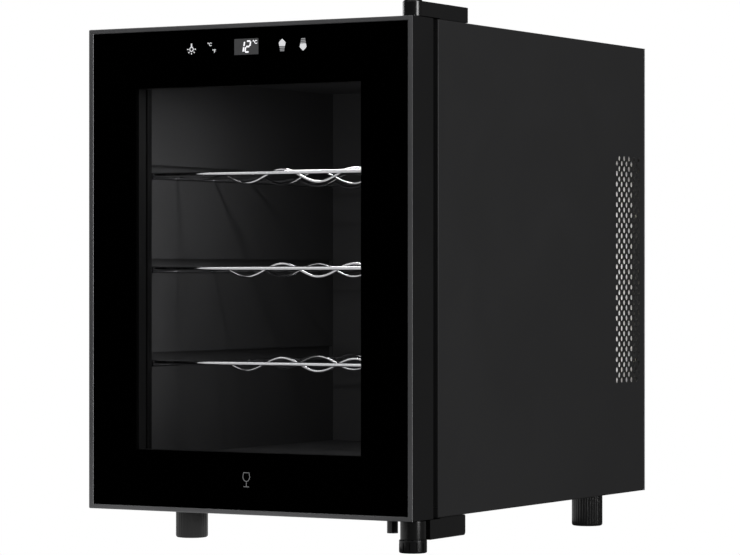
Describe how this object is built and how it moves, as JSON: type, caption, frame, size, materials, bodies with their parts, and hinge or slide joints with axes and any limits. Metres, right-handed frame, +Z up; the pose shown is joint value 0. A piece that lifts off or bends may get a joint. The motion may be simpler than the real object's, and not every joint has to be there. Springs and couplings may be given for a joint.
{
  "type": "wine cooler",
  "caption": "Free-standing thermoelectric wine cooler: glass door hinged on the right, wire bottle racks, touch controls, vented steel sides and rear fan.",
  "frame": {"origin": "floor level under the middle of the cabinet width and of the overall depth", "axes": "+Z up, the door faces -Y, the hinge is on the +X side"},
  "size_m": [0.3478, 0.502, 0.4898],
  "materials": {
    "cabinet_paint": "satin black powder coat",
    "zinc_plate": "zinc plated",
    "door_plastic": "satin black with a bright bevelled edge",
    "matte_black_plastic": "matte black",
    "liner_plastic": "fine-textured black",
    "foam": "rigid foam",
    "chrome_wire": "bright chrome",
    "lens_plastic": "frosted",
    "circuit_board": "solder mask",
    "alloy": "extruded",
    "ceramic": "white ceramic",
    "fan_plastic": "satin black",
    "rubber": "matte black",
    "bracket_paint": "satin black",
    "gloss_black_plastic": "gloss black",
    "front_glass": "smoked, black print round the window",
    "inner_glass": "clear",
    "display_panel": "dark display",
    "bush_plastic": "moulded"
  },
  "bodies": {
    "cabinet": {"bottom_hinge_bracket": "bracket_paint", "bottom_hinge_pin": "zinc_plate", "bottom_hinge_screw_1": "zinc_plate", "bottom_hinge_screw_2": "zinc_plate", "bottom_panel": "cabinet_paint", "cold_air_cover": "liner_plastic", "cold_fan_frame": "fan_plastic", "cold_heat_sink": "alloy", "cord_gland": "rubber", "drain_spout": "fan_plastic", "foot_front_left": "gloss_black_plastic", "foot_rear_left": "gloss_black_plastic", "foot_rear_right": "gloss_black_plastic", "hinge_cap": "gloss_black_plastic", "hot_fan_frame": "fan_plastic", "hot_heat_sink": "alloy", "inner_liner": "liner_plastic", "insulation_foam": "foam", "light_lens": "lens_plastic", "light_strip": "circuit_board", "mouth_frame": "matte_black_plastic", "power_supply_box": "fan_plastic", "rear_grille_cover": "fan_plastic", "rear_panel": "zinc_plate", "rear_screw_1": "zinc_plate", "rear_screw_2": "zinc_plate", "rear_screw_3": "zinc_plate", "rear_screw_4": "zinc_plate", "side_panel_left": "cabinet_paint", "side_panel_right": "cabinet_paint", "thermoelectric_module": "ceramic", "top_hinge_bracket": "bracket_paint", "top_hinge_cover": "gloss_black_plastic", "top_hinge_pin": "zinc_plate", "top_hinge_screw_1": "zinc_plate", "top_hinge_screw_2": "zinc_plate", "top_panel": "cabinet_paint", "wire_rack_bottom": "chrome_wire", "wire_rack_middle": "chrome_wire", "wire_rack_top": "chrome_wire"},
    "door": {"door_frame": "door_plastic", "front_glass": "front_glass", "pane_spacer": "matte_black_plastic", "inner_glass": "inner_glass", "glass_stop": "matte_black_plastic", "control_board": "circuit_board", "display_module": "display_panel", "door_gasket": "rubber", "door_bush_top": "bush_plastic", "door_bush_bottom": "bush_plastic"},
    "cold_fan_rotor": {"cold_fan_rotor": "fan_plastic"},
    "hot_fan_rotor": {"hot_fan_rotor": "fan_plastic"},
    "levelling_foot": {"levelling_foot": "gloss_black_plastic"}
  },
  "joints": [
    {"name": "door_swing", "type": "hinge", "parent": "cabinet", "child": "door", "pos_m": [0.1629, -0.233, 0.25], "axis": [0, 0, 1], "range_deg": [0, 110]},
    {"name": "cold_fan_spin", "type": "hinge", "parent": "cabinet", "child": "cold_fan_rotor", "pos_m": [0, 0.11665, 0.25105], "axis": [0, 1, 0], "continuous": true},
    {"name": "hot_fan_spin", "type": "hinge", "parent": "cabinet", "child": "hot_fan_rotor", "pos_m": [0, 0.20685, 0.25105], "axis": [0, 1, 0], "continuous": true},
    {"name": "levelling_foot_turn", "type": "hinge", "parent": "cabinet", "child": "levelling_foot", "pos_m": [0.1629, -0.233, 0.0058], "axis": [0, 0, 1], "continuous": true}
  ]
}
